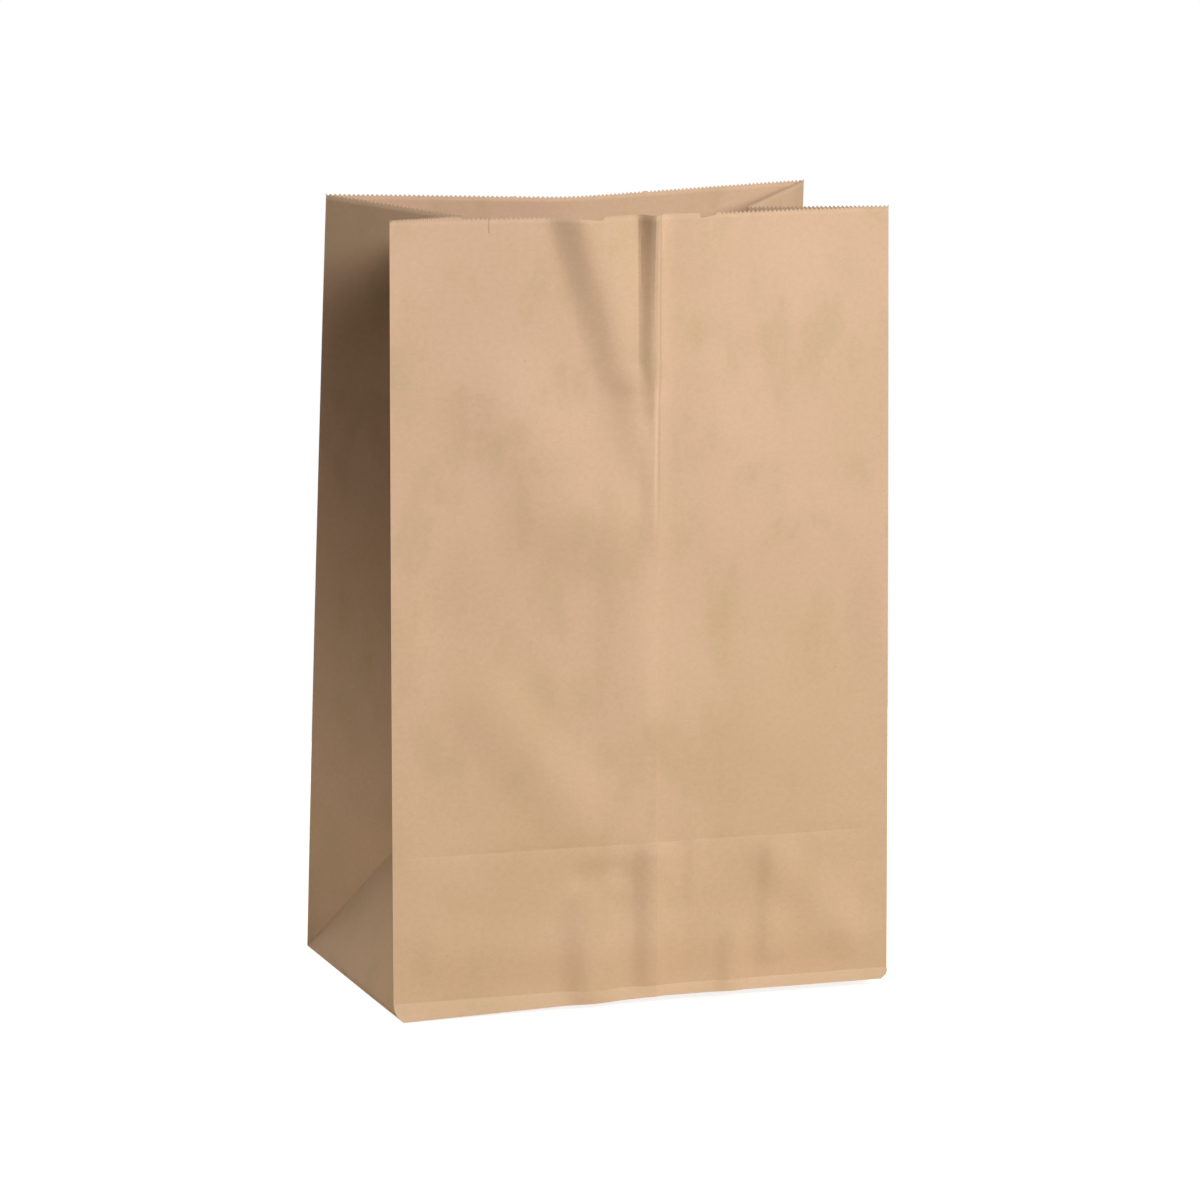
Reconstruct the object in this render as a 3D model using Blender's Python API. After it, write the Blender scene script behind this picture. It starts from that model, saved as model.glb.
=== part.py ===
"""Kraft paper grocery sack, standing open with its side gussets pinched in.

The sack is one folded and glued sheet. A tube with a lap seam down the front has two
gussets, each with a middle crease, and its lower end is closed by two glued flaps that
make the flat bottom. The mouth is pinked, with a plain thumb tab in the front.

Units are metres and +Z is up. The front faces -Y and the origin is on the floor, below
the middle of the bottom. A point of the wall is named by its place on the flat sheet:
how far round the tube it lies, and how far up from the bottom fold.
"""

import math
from dataclasses import dataclass

import bmesh
import bpy
from mathutils import Vector

# Size of the sack
WIDTH = 0.2845
DEPTH = 0.1717
HEIGHT = 0.432
WALL = 0.0004

# How the opened walls stand
FRONT_LEAN = math.radians(2.43)
BACK_LEAN = math.radians(3.77)
FRONT_DRAW_IN = 0.0013
BACK_DRAW_IN = 0.0022
FRONT_BOW = 0.010
BACK_BOW = 0.0245
BOW_GROWTH = 1.6
FRONT_BOW_TAPER = 2
BACK_BEND_X = -0.008
BACK_BEND_SOFTNESS = 0.10
BACK_TWIST = 0.002
GUSSET_TIP = math.radians(21.2)

# The crease left by folding the bottom flat, above the gussets' diagonal folds
FOLD_CREASE_GAP = 0.003
FOLD_CREASE_DEPTH = 0.0006

# The band along the foot of the front
FOOT_HEIGHT = 0.010
FOOT_FLARE = 0.002
FOOT_INSET = 0.0047
FOOT_LIFT = 0.0045
FOOT_LIFT_FROM = -0.160
FOOT_LIFT_TO = 0.010
FOOT_REACH = 0.060

# The flaps that close the bottom
FLAP_STEP = 0.0003
FLAP_STEP_RUN = 0.0003
FLAP_OVERLAP = 0.036

# The glued lap seam down the front
SEAM_X = 0.0088
SEAM_STEP = 0.0005
SEAM_RUN = 0.0003
SEAM_LAP = 0.025
SEAM_SETTLE = 0.012
SEAM_LIP_RISE = 0.0011
SEAM_LIP_REACH = 0.009

# The pinked mouth and its thumb tab
TOOTH_PITCH = 0.00254
TOOTH_DEPTH = 0.0012
RIM_BAND = 0.008
TAB_X = 0.0006
TAB_WIDTH = 0.0552
LEFT_NICK_DEPTH = 0.0021
LEFT_NICK_SLOPE = 0.013
RIGHT_NICK_DEPTH = 0.0030
RIGHT_NICK_SLOPE = 0.010
NICK_WALL = 0.0008

# How finely the sheet is divided
FOLD_PITCH = 0.0145
ROW_PITCH = 0.0185
SAME_PLACE = 1e-6

PAPER_COLOUR = (0.604, 0.413, 0.256, 1.0)
PAPER_ROUGHNESS = 0.82

HALF_WIDTH = WIDTH / 2
HALF_DEPTH = DEPTH / 2
GIRTH = 2 * (WIDTH + DEPTH)
FOLD_CREASE_HEIGHT = HALF_DEPTH + FOLD_CREASE_GAP
TAB_LEFT = TAB_X - TAB_WIDTH / 2
TAB_RIGHT = TAB_X + TAB_WIDTH / 2


@dataclass(frozen=True)
class Dent:
    """A soft buckle in the front, between two points (x, height) of the sheet."""

    start: tuple
    end: tuple
    reach: float
    start_rise: float
    end_rise: float

    def rise(self, x, height):
        """Return how far the buckle stands out here, below zero for a valley."""
        run_x = self.end[0] - self.start[0]
        run_h = self.end[1] - self.start[1]
        along = (x - self.start[0]) * run_x + (height - self.start[1]) * run_h
        along = clamp(along / (run_x ** 2 + run_h ** 2))
        off_x = x - self.start[0] - along * run_x
        off_h = height - self.start[1] - along * run_h
        nearness = clamp(1 - math.hypot(off_x, off_h) / self.reach)
        return blend(self.start_rise, self.end_rise, along) * ease(nearness)


DENTS = (
    Dent(start=(-0.036, 0.440), end=(-0.013, 0.356), reach=0.018, start_rise=0.0024, end_rise=0.0016),
    Dent(start=(-0.0055, 0.440), end=(-0.0055, 0.345), reach=0.011, start_rise=-0.0022, end_rise=-0.0008),
    Dent(start=(-0.012, 0.332), end=(0.030, 0.316), reach=0.020, start_rise=-0.0014, end_rise=-0.0010),
    Dent(start=(-0.0360, 0.000), end=(-0.0340, 0.044), reach=0.016, start_rise=-0.0022, end_rise=-0.0010),
    Dent(start=(0.0000, 0.010), end=(0.0010, 0.068), reach=0.014, start_rise=-0.0018, end_rise=-0.0010),
    Dent(start=(0.0460, 0.004), end=(0.0430, 0.034), reach=0.014, start_rise=-0.0014, end_rise=-0.0006),
)


def clamp(value):
    """Return the value held between 0 and 1."""
    return min(1.0, max(0.0, value))


def blend(low, high, share):
    """Return the point that lies this share of the way from low to high."""
    return low + (high - low) * share


def ease(share):
    """Return a smooth step from 0 to 1."""
    return share * share * (3 - 2 * share)


def seam_rise(x):
    """Return how far the upper layer of the lap seam stands out at x."""
    if x > SEAM_X + SAME_PLACE:
        return 0.0
    lap = SEAM_STEP * ease(clamp((x - SEAM_X + SEAM_LAP + SEAM_SETTLE) / SEAM_SETTLE))
    lip = SEAM_LIP_RISE * ease(clamp((x - SEAM_X + SEAM_LIP_REACH) / SEAM_LIP_REACH))
    return lap + lip


def lip_fall(x):
    """Return how the lower layer follows the lip down again, right of the seam."""
    beyond = clamp((x - SEAM_X) / SEAM_LIP_REACH)
    return SEAM_LIP_RISE * ease(1 - beyond) if x > SEAM_X + SAME_PLACE else 0.0


def front_relief(x, height):
    """Return how far dents, seam and crease stand the front out at this point."""
    dents = sum(dent.rise(x, height) for dent in DENTS)
    crease = FOLD_CREASE_DEPTH if abs(height - FOLD_CREASE_HEIGHT) < SAME_PLACE else 0.0
    inside = ease(clamp((HALF_WIDTH - abs(x)) / SEAM_LAP))
    return dents + seam_rise(x) + lip_fall(x) - crease * inside


def front_point(x, height):
    """Return the place of a point of the front panel."""
    up = height / HEIGHT
    middle = 1 - (x / HALF_WIDTH) ** 2
    bow = FRONT_BOW * up ** BOW_GROWTH * middle ** FRONT_BOW_TAPER
    inward = height * math.sin(FRONT_LEAN) - bow
    rise = math.sqrt(max(0.0, height ** 2 - inward ** 2))
    drawn_in = 1 - FRONT_DRAW_IN / HALF_WIDTH * up ** 2
    y = -HALF_DEPTH + inward - front_relief(x, height)
    return Vector((x * drawn_in, y, rise))


def back_point(x, height):
    """Return the place of a point of the back panel, which is bent inwards at the top."""
    up = height / HEIGHT
    reach = HALF_WIDTH - BACK_BEND_X if x > BACK_BEND_X else HALF_WIDTH + BACK_BEND_X
    away = abs(x - BACK_BEND_X) / reach
    soft = BACK_BEND_SOFTNESS
    tent = 1 - (math.hypot(away, soft) - soft) / (math.hypot(1, soft) - soft)
    twist = BACK_TWIST * up * (x / WIDTH + 0.5)
    inward = height * math.sin(BACK_LEAN) + BACK_BOW * up ** BOW_GROWTH * tent - twist
    rise = math.sqrt(max(0.0, height ** 2 - inward ** 2))
    drawn_in = 1 - BACK_DRAW_IN / HALF_WIDTH * up ** 2
    return Vector((x * drawn_in, HALF_DEPTH - inward, rise))


def gusset_apex(side):
    """Return where a gusset's two diagonal creases meet, at the tip of its low triangle."""
    inward = HALF_DEPTH * math.sin(GUSSET_TIP)
    return Vector((side * (HALF_WIDTH - inward), 0.0, HALF_DEPTH * math.cos(GUSSET_TIP)))


def gusset_top(side):
    """Return where a gusset's middle crease meets the mouth."""
    front = front_point(side * HALF_WIDTH, HEIGHT)
    back = back_point(side * HALF_WIDTH, HEIGHT)
    middle = (front + back) / 2
    inward = math.sqrt(HALF_DEPTH ** 2 - ((back - front) / 2).length_squared)
    apex = gusset_apex(side)
    x = middle.x - side * inward
    crease = HEIGHT - HALF_DEPTH
    rise = math.sqrt(crease ** 2 - (x - apex.x) ** 2 - (middle.y - apex.y) ** 2)
    return Vector((x, middle.y, apex.z + rise))


def gusset_point(side, across, height):
    """Return the place of a point of a gusset, across it from the front crease."""
    inset = min(across, DEPTH - across)
    corner_y = -HALF_DEPTH if across <= HALF_DEPTH else HALF_DEPTH
    apex = gusset_apex(side)
    if height <= inset + SAME_PLACE:
        foot = Vector((side * HALF_WIDTH, across - HALF_DEPTH, 0.0))
        middle = Vector((side * HALF_WIDTH, 0.0, 0.0))
        return foot + (apex - middle) * height / HALF_DEPTH
    crease = front_point if across <= HALF_DEPTH else back_point
    outer = crease(side * HALF_WIDTH, height)
    if height < HALF_DEPTH:
        corner = Vector((side * HALF_WIDTH, corner_y, 0.0))
        inner = blend(corner, apex, height / HALF_DEPTH)
    else:
        up = (height - HALF_DEPTH) / (HEIGHT - HALF_DEPTH)
        inner = blend(apex, gusset_top(side), up)
    return blend(outer, inner, inset / min(height, HALF_DEPTH))


def foot_shift(x, y):
    """Return how the bottom departs from a plain rectangle, narrower and raised at the front."""
    narrowing = -FOOT_INSET * x / HALF_WIDTH * (0.5 - y / DEPTH)
    near = clamp(1 - (y + HALF_DEPTH) / FOOT_REACH)
    lift = FOOT_LIFT * clamp((x - FOOT_LIFT_FROM) / (FOOT_LIFT_TO - FOOT_LIFT_FROM))
    return Vector((narrowing, -FOOT_FLARE * near, lift * near))


def wall_point(around, height):
    """Return where a point of the tube stands once the sheet is folded."""
    fade = clamp(1 - height / FOOT_HEIGHT)
    if around <= WIDTH:
        x = around - HALF_WIDTH
        return front_point(x, height) + fade * foot_shift(x, -HALF_DEPTH)
    if around <= WIDTH + DEPTH:
        across = around - WIDTH
        return gusset_point(1, across, height) + fade * foot_shift(HALF_WIDTH, across - HALF_DEPTH)
    if around <= 2 * WIDTH + DEPTH:
        return back_point(HALF_WIDTH + WIDTH + DEPTH - around, height)
    across = GIRTH - around
    return gusset_point(-1, across, height) + fade * foot_shift(-HALF_WIDTH, across - HALF_DEPTH)


def bottom_point(x, y, level):
    """Return the place of a point of the bottom, level metres above its resting face."""
    near = clamp(1 - (y + HALF_DEPTH) / FOOT_REACH)
    pushed = near * front_relief(x, 0.0)
    return Vector((x, y - pushed, level)) + foot_shift(x, y)


def fill(stops, pitch):
    """Return the stops in order, with even ones added wherever a gap passes the pitch."""
    stops = sorted(stops)
    filled = [stops[0]]
    for stop in stops[1:]:
        gap = stop - filled[-1]
        if gap < SAME_PLACE:
            continue
        cells = math.ceil(gap / pitch)
        start = filled[-1]
        filled += [blend(start, stop, cell / cells) for cell in range(1, cells + 1)]
    return filled


def corner_stops():
    """Return the distances from a corner that the folds need a point at."""
    return fill([0.0, FOOT_HEIGHT, HALF_DEPTH], FOLD_PITCH)


def stops_across():
    """Return the x of every column of the front, the back and the bottom."""
    left = [-HALF_WIDTH + stop for stop in corner_stops()]
    right = [-x for x in left]
    seam = [SEAM_X - SEAM_LIP_REACH, SEAM_X, SEAM_X + SEAM_RUN, SEAM_X + SEAM_LIP_REACH]
    tab = [TAB_LEFT - LEFT_NICK_SLOPE, TAB_LEFT, TAB_RIGHT, TAB_RIGHT + RIGHT_NICK_SLOPE]
    return fill(left + right + seam + tab, FOLD_PITCH)


def stops_deep():
    """Return the distance from the front of every column of a gusset."""
    front = corner_stops()
    return fill(front + [DEPTH - stop for stop in front], FOLD_PITCH)


def stops_up():
    """Return the height of every row below the rim."""
    return fill(corner_stops() + [FOLD_CREASE_HEIGHT, HEIGHT - RIM_BAND], ROW_PITCH)


def stops_around():
    """Return every column of the tube, from the front's left edge all the way round."""
    across = [x + HALF_WIDTH for x in stops_across()]
    deep = stops_deep()
    right = [WIDTH + stop for stop in deep]
    back = [WIDTH + DEPTH + WIDTH - stop for stop in across]
    left = [GIRTH - stop for stop in deep]
    return fill(across + right + back + left, FOLD_PITCH)


def toothed_edge(start, end):
    """Return the pinked edge between two columns, as (around, height) points."""
    teeth = max(1, round((end - start) / TOOTH_PITCH))
    points = []
    for tooth in range(teeth):
        points.append((blend(start, end, tooth / teeth), HEIGHT - TOOTH_DEPTH))
        points.append((blend(start, end, (tooth + 0.5) / teeth), HEIGHT))
    return points + [(end, HEIGHT - TOOTH_DEPTH)]


def nick_height(x):
    """Return the height of the torn slope beside the thumb tab."""
    if x < TAB_LEFT:
        return blend(HEIGHT - LEFT_NICK_DEPTH, HEIGHT - TOOTH_DEPTH, (TAB_LEFT - x) / LEFT_NICK_SLOPE)
    return blend(HEIGHT - RIGHT_NICK_DEPTH, HEIGHT - TOOTH_DEPTH, (x - TAB_RIGHT) / RIGHT_NICK_SLOPE)


def mouth_edge(start, end):
    """Return the edge of the mouth between two columns, as (around, height) points."""
    middle = (start + end) / 2 - HALF_WIDTH
    if not TAB_LEFT - LEFT_NICK_SLOPE < middle < TAB_RIGHT + RIGHT_NICK_SLOPE:
        return toothed_edge(start, end)
    if TAB_LEFT < middle < TAB_RIGHT:
        return [(start, HEIGHT), (end, HEIGHT)]
    points = [(start, nick_height(start - HALF_WIDTH)), (end, nick_height(end - HALF_WIDTH))]
    if abs(end - HALF_WIDTH - TAB_LEFT) < SAME_PLACE:
        points[1:] = [(end - NICK_WALL, HEIGHT - LEFT_NICK_DEPTH), (end, HEIGHT)]
    if abs(start - HALF_WIDTH - TAB_RIGHT) < SAME_PLACE:
        points[:1] = [(start, HEIGHT), (start + NICK_WALL, HEIGHT - RIGHT_NICK_DEPTH)]
    return points


def flat_tube(mesh):
    """Draw the unfolded tube in the XY plane: around it along X, and up it along Y."""
    corners = {}

    def corner(around, height):
        """Return the one vertex at this place of the sheet."""
        key = (round(around / SAME_PLACE), round(height / SAME_PLACE))
        if key not in corners:
            corners[key] = mesh.verts.new((around, height, 0.0))
        return corners[key]

    columns = stops_around()
    rows = stops_up()
    for start, end in zip(columns, columns[1:]):
        for low, high in zip(rows, rows[1:]):
            mesh.faces.new([corner(start, low), corner(end, low), corner(end, high), corner(start, high)])
        rim = [corner(around, height) for around, height in reversed(mouth_edge(start, end))]
        mesh.faces.new([corner(start, rows[-1]), corner(end, rows[-1])] + rim)


def cut(mesh, faces, point, direction):
    """Cut faces that lie in the XY plane along a line."""
    across = Vector((-direction[1], direction[0], 0.0))
    geometry = set(faces)
    for face in faces:
        geometry.update(face.edges)
        geometry.update(face.verts)
    through = Vector((point[0], point[1], 0.0))
    bmesh.ops.bisect_plane(mesh, geom=list(geometry), dist=SAME_PLACE, plane_co=through, plane_no=across)


def crease_gussets(mesh):
    """Cut the diagonal creases that let each gusset turn in above the bottom."""
    for corner, turn in ((WIDTH, 1), (WIDTH + DEPTH, -1), (2 * WIDTH + DEPTH, 1), (GIRTH, -1)):
        low, high = sorted((corner, corner + turn * HALF_DEPTH))
        faces = [
            face for face in mesh.faces
            if low < face.calc_center_median().x < high and face.calc_center_median().y < HALF_DEPTH]
        cut(mesh, faces, (corner, 0.0), (turn, 1.0))


def fold_tube(mesh):
    """Fold the flat tube into the standing walls and join its two ends."""
    for vertex in mesh.verts:
        vertex.co = wall_point(vertex.co.x, vertex.co.y)
    bmesh.ops.remove_doubles(mesh, verts=mesh.verts, dist=SAME_PLACE)


def flat_bottom(mesh):
    """Draw the flat bottom: two folded ends, the front flap over them, the back flap over all.

    The outline rests on the floor. Inside it a layer that lies under another is higher, by
    up to one layer of paper for each flap that covers it, so each flap's edge is a step.
    """
    across = stops_across()
    deep = [stop - HALF_DEPTH for stop in stops_deep()]
    overlap = FLAP_OVERLAP / 2
    corners = {}

    def corner(x, y, level=0.0):
        """Return the one vertex at this place of the bottom."""
        key = (round(x / SAME_PLACE), round(y / SAME_PLACE))
        if key not in corners:
            corners[key] = mesh.verts.new((x, y, level))
        return corners[key]

    def by_side(x, y, level):
        """Return the vertex at this place on the left, and the one on the right."""
        return corner(-x, y, level), corner(x, y, level)

    apex_x = HALF_WIDTH - HALF_DEPTH
    edge_x = apex_x - overlap
    diagonal = FLAP_STEP_RUN / math.sqrt(2)
    apex_back = by_side(apex_x, 0.0, 0.0)
    apex_front = by_side(apex_x + diagonal, -diagonal, FLAP_STEP)
    apex_end = by_side(apex_x + 2 * diagonal, 0.0, 2 * FLAP_STEP)
    edge_back = by_side(edge_x, -overlap, 0.0)
    under = FLAP_STEP * (HALF_DEPTH - overlap) / HALF_DEPTH
    edge_front = by_side(edge_x + 2 * diagonal - FLAP_STEP_RUN, -overlap - FLAP_STEP_RUN, under)
    front = [corner(x, -HALF_DEPTH) for x in across]
    back = [corner(x, HALF_DEPTH) for x in across]
    mesh.faces.new(back + [apex_back[1], edge_back[1], edge_back[0], apex_back[0]])
    mesh.faces.new(front + [apex_front[1], edge_front[1], edge_front[0], apex_front[0]])
    mesh.faces.new([edge_back[0], edge_back[1], edge_front[1], edge_front[0]])
    for side in (0, 1):
        end_x = HALF_WIDTH * (2 * side - 1)
        mesh.faces.new([corner(end_x, y) for y in deep] + [apex_end[side]])
        mesh.faces.new([edge_back[side], apex_back[side], apex_front[side], edge_front[side]])
        mesh.faces.new([corner(end_x, HALF_DEPTH), apex_back[side], apex_end[side]])
        mesh.faces.new([corner(end_x, -HALF_DEPTH), apex_front[side], apex_end[side]])
        mesh.faces.new([apex_back[side], apex_front[side], apex_end[side]])
    bmesh.ops.triangulate(mesh, faces=[face for face in mesh.faces if len(face.verts) > 4])


def place_bottom(mesh):
    """Stand the bottom's points at their places under the walls."""
    for vertex in mesh.verts:
        vertex.co = bottom_point(vertex.co.x, vertex.co.y, vertex.co.z)


def sheet_surface():
    """Return the outer surface of the folded sack as one mesh."""
    walls = bmesh.new()
    flat_tube(walls)
    crease_gussets(walls)
    bmesh.ops.triangulate(walls, faces=[face for face in walls.faces if len(face.verts) > 4])
    fold_tube(walls)
    bottom = bmesh.new()
    flat_bottom(bottom)
    place_bottom(bottom)
    shell = bpy.data.meshes.new("bottom")
    bottom.to_mesh(shell)
    bottom.free()
    walls.from_mesh(shell)
    bpy.data.meshes.remove(shell)
    bmesh.ops.remove_doubles(walls, verts=walls.verts, dist=SAME_PLACE)
    bmesh.ops.recalc_face_normals(walls, faces=walls.faces)
    surface = bpy.data.meshes.new("paper_bag")
    walls.to_mesh(surface)
    walls.free()
    return surface


def kraft_paper():
    """Return the paper's material."""
    material = bpy.data.materials.new("kraft_paper")
    material.use_nodes = True
    shader = material.node_tree.nodes["Principled BSDF"]
    shader.inputs["Base Color"].default_value = PAPER_COLOUR
    shader.inputs["Roughness"].default_value = PAPER_ROUGHNESS
    shader.inputs["Metallic"].default_value = 0.0
    return material


def paper_bag():
    """Build the sack: its folded surface, thickened inwards into a wall."""
    bag = bpy.data.objects.new("paper_bag", sheet_surface())
    bpy.context.scene.collection.objects.link(bag)
    bag.data.materials.append(kraft_paper())
    wall = bag.modifiers.new("wall", "SOLIDIFY")
    wall.thickness = WALL
    wall.offset = -1.0
    wall.use_even_offset = True
    wall.use_quality_normals = True
    return bag


for old in list(bpy.data.objects):
    bpy.data.objects.remove(old)
paper_bag()
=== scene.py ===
"""Kraft grocery sack, standing open: its finished sheet, paper and studio.

The sack is made the way the real one is. A flat blank is laid out as a dieline, cut along
its creases, pinked along the mouth, folded up into the standing sack and glued shut at the
bottom. The blank's own coordinates stay on the sheet as a UV map in metres, so that the
paper's grain, creases and specks follow the sheet round every fold.
"""

from __future__ import annotations

import logging
import math
from dataclasses import dataclass, field
from enum import Enum
from typing import TypeVar

import bmesh
import bpy
from mathutils import Matrix, Vector

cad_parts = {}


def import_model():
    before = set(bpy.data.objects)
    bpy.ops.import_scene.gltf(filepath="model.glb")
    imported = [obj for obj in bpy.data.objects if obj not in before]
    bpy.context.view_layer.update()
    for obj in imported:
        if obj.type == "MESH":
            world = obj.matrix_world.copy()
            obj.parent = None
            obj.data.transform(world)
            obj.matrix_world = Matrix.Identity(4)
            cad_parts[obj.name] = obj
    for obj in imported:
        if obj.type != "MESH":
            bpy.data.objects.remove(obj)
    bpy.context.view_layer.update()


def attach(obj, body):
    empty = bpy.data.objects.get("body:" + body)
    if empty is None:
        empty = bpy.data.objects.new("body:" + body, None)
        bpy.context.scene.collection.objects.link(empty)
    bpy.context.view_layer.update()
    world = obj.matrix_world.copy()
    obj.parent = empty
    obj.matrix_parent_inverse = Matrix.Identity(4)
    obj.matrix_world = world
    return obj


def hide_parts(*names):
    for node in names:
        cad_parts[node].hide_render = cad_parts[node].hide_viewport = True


LOG = logging.getLogger("kraft_sack")
SHEET_MAP = "sheet"

# Lengths, in metres: what counts as one place, what is welded, and what lies past every edge.
SAME_PLACE = 1e-6
WELD_REACH = SAME_PLACE * 10
GLUE_REACH = SAME_PLACE * 30
BEYOND = 2.0

# Millimetres to a metre, the middle of a noise, and a Mix node's sockets for colours.
MM = 1000.0
NOISE_MIDDLE = 0.5
MIX_SHARE, MIX_LOW, MIX_HIGH, MIX_RESULT = 0, 6, 7, 2

Colour = tuple[float, float, float, float]
WHITE: Colour = (1.0, 1.0, 1.0, 1.0)
Place = TypeVar("Place", float, Vector)


def clamp(value: float) -> float:
    """Return the value held between 0 and 1."""
    return min(1.0, max(0.0, value))


def blend(low: Place, high: Place, share: float) -> Place:
    """Return what lies this share of the way from low to high."""
    return low + (high - low) * share


def ease(share: float) -> float:
    """Return a smooth step from 0 to 1."""
    return share * share * (3 - 2 * share)


class Layer(Enum):
    """The layers of paper at a place of the bottom, as steps above its resting face."""

    OUTER_FLAP = 0
    INNER_FLAP = 1
    FOLDED_END = 2


@dataclass(frozen=True)
class Buckle:
    """A soft ridge or valley in the front, between two points (x, height) of the sheet."""

    start: tuple[float, float]
    end: tuple[float, float]
    reach: float
    start_rise: float
    end_rise: float
    right_reach: float = 0.0

    def rise(self, x: float, height: float) -> float:
        """Return how far the sheet stands out here.

        Args:
            x: place across the front, in metres from its middle.
            height: place up the sheet, in metres from the bottom fold.

        Returns:
            The rise in metres, below zero in a valley.
        """
        run_x = self.end[0] - self.start[0]
        run_h = self.end[1] - self.start[1]
        along = (x - self.start[0]) * run_x + (height - self.start[1]) * run_h
        along = clamp(along / (run_x ** 2 + run_h ** 2))
        off_x = x - self.start[0] - along * run_x
        off_h = height - self.start[1] - along * run_h
        side_reach = self.right_reach if self.right_reach and off_x > 0 else self.reach
        nearness = clamp(1 - math.hypot(off_x / side_reach, off_h / self.reach))
        return blend(self.start_rise, self.end_rise, along) * ease(nearness)


@dataclass(frozen=True)
class FoldedForm:
    """How the flat blank stands once it is folded: the CAD sack's rules, with every buckle."""

    width: float = 0.2845
    depth: float = 0.1717
    height: float = 0.432
    front_lean: float = math.radians(2.43)
    back_lean: float = math.radians(3.77)
    front_draw_in: float = 0.0013
    back_draw_in: float = 0.0022
    front_bow: float = 0.010
    back_bow: float = 0.0245
    bow_growth: float = 1.6
    front_bow_taper: int = 2
    back_bend_x: float = -0.008
    back_bend_softness: float = 0.10
    back_twist: float = 0.002
    gusset_tip: float = math.radians(21.2)
    crease_height: float = 0.08885
    crease_depth: float = 0.0006
    crease_reach: float = 0.004
    foot_height: float = 0.010
    foot_flare: float = 0.0034
    foot_inset: float = 0.0047
    foot_inset_taper: int = 3
    foot_lift: float = 0.0045
    foot_lift_from: float = -0.160
    foot_lift_to: float = 0.010
    foot_reach: float = 0.060
    flap_step: float = 0.0003
    flap_overlap: float = 0.036
    seam_x: float = 0.0066
    seam_step: float = 0.0005
    seam_run: float = 0.0003
    seam_lap: float = 0.025
    seam_settle: float = 0.012
    seam_lip_rise: float = 0.0011
    seam_lip_least: float = 0.25
    seam_lip_reach: float = 0.006
    seam_lip_low: float = 0.180
    seam_lip_high: float = 0.300
    flutes: tuple[Buckle, ...] = (
        Buckle((-0.041, 0.440), (-0.014, 0.352), 0.020, 0.0074, 0.0038, 0.034),
        Buckle((-0.008, 0.338), (-0.004, 0.300), 0.016, 0.0026, 0.0012, 0.008),
        Buckle((0.0022, 0.440), (0.0022, 0.330), 0.0095, 0.0088, 0.0036, 0.005),
        Buckle((0.0022, 0.321), (0.0022, 0.262), 0.0075, 0.0016, 0.0010, 0.005),
        Buckle((0.029, 0.440), (0.027, 0.408), 0.020, 0.0026, 0.0014, 0.030),
        Buckle((0.033, 0.345), (0.031, 0.312), 0.020, 0.0014, 0.0012, 0.035),
    )
    hollows: tuple[Buckle, ...] = (
        Buckle((-0.078, 0.330), (-0.034, 0.276), 0.040, 0.0030, 0.0026),
        Buckle((-0.060, 0.268), (-0.006, 0.262), 0.030, 0.0020, 0.0016),
        Buckle((-0.105, 0.215), (-0.045, 0.206), 0.045, -0.0022, -0.0014),
        Buckle((0.000, 0.235), (0.000, 0.165), 0.030, 0.0014, 0.0012, 0.009),
        Buckle((0.035, 0.210), (0.130, 0.207), 0.065, -0.0038, -0.0036),
        Buckle((-0.084, 0.165), (-0.040, 0.115), 0.030, 0.0024, 0.0024, 0.022),
        Buckle((0.064, 0.178), (0.062, 0.142), 0.022, 0.0011, 0.0009, 0.035),
    )
    foot_dents: tuple[Buckle, ...] = (
        Buckle((-0.034, 0.052), (-0.031, 0.008), 0.018, 0.0026, 0.0038, 0.022),
        Buckle((0.0035, 0.082), (0.0035, 0.014), 0.012, 0.0030, 0.0022, 0.020),
        Buckle((-0.036, 0.072), (-0.014, 0.074), 0.011, -0.0016, -0.0016),
        Buckle((0.050, 0.036), (0.049, 0.004), 0.009, 0.0012, 0.0020, 0.016),
        Buckle((0.074, 0.080), (0.071, 0.024), 0.009, 0.0016, 0.0013, 0.018),
        Buckle((0.076, 0.076), (0.122, 0.030), 0.020, 0.0022, 0.0014),
        Buckle((0.029, 0.088), (0.028, 0.058), 0.006, 0.0006, 0.0004, 0.012),
        Buckle((-0.120, 0.036), (0.125, 0.033), 0.022, 0.0020, 0.0020),
    )

    @property
    def girth(self) -> float:
        """Return the length round the tube."""
        return 2 * (self.width + self.depth)

    @property
    def corners(self) -> tuple[float, float, float, float]:
        """Return how far round the tube the front, right gusset, back and left gusset start."""
        return (0.0, self.width, self.width + self.depth, 2 * self.width + self.depth)

    def seam_rise(self, x: float, height: float) -> float:
        """Return how far the lap seam stands the front out.

        Args:
            x: place across the front, in metres from its middle.
            height: place up the sheet, in metres from the bottom fold.

        Returns:
            The rise in metres, most at the mouth, where the lap's edge has lifted.
        """
        lifted = ease(clamp((height - self.seam_lip_low) / (self.seam_lip_high - self.seam_lip_low)))
        lip_rise = self.seam_lip_rise * blend(self.seam_lip_least, 1.0, lifted)
        if x > self.seam_x + SAME_PLACE:
            return lip_rise * ease(1 - clamp((x - self.seam_x) / self.seam_lip_reach))
        settle = (x - self.seam_x + self.seam_lap + self.seam_settle) / self.seam_settle
        lip = (x - self.seam_x + self.seam_lip_reach) / self.seam_lip_reach
        return self.seam_step * ease(clamp(settle)) + lip_rise * ease(clamp(lip))

    def front_relief(self, x: float, height: float) -> float:
        """Return how far buckles, seam and crease stand the front out.

        Args:
            x: place across the front, in metres from its middle.
            height: place up the sheet, in metres from the bottom fold.

        Returns:
            The rise in metres, below zero where the sheet is pushed in.
        """
        relief = sum(buckle.rise(x, height) for buckle in self.flutes + self.hollows + self.foot_dents)
        crease = ease(clamp(1 - abs(height - self.crease_height) / self.crease_reach))
        return self.seam_rise(x, height) + (relief - self.crease_depth * crease) * self.edge_fade(x)

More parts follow.
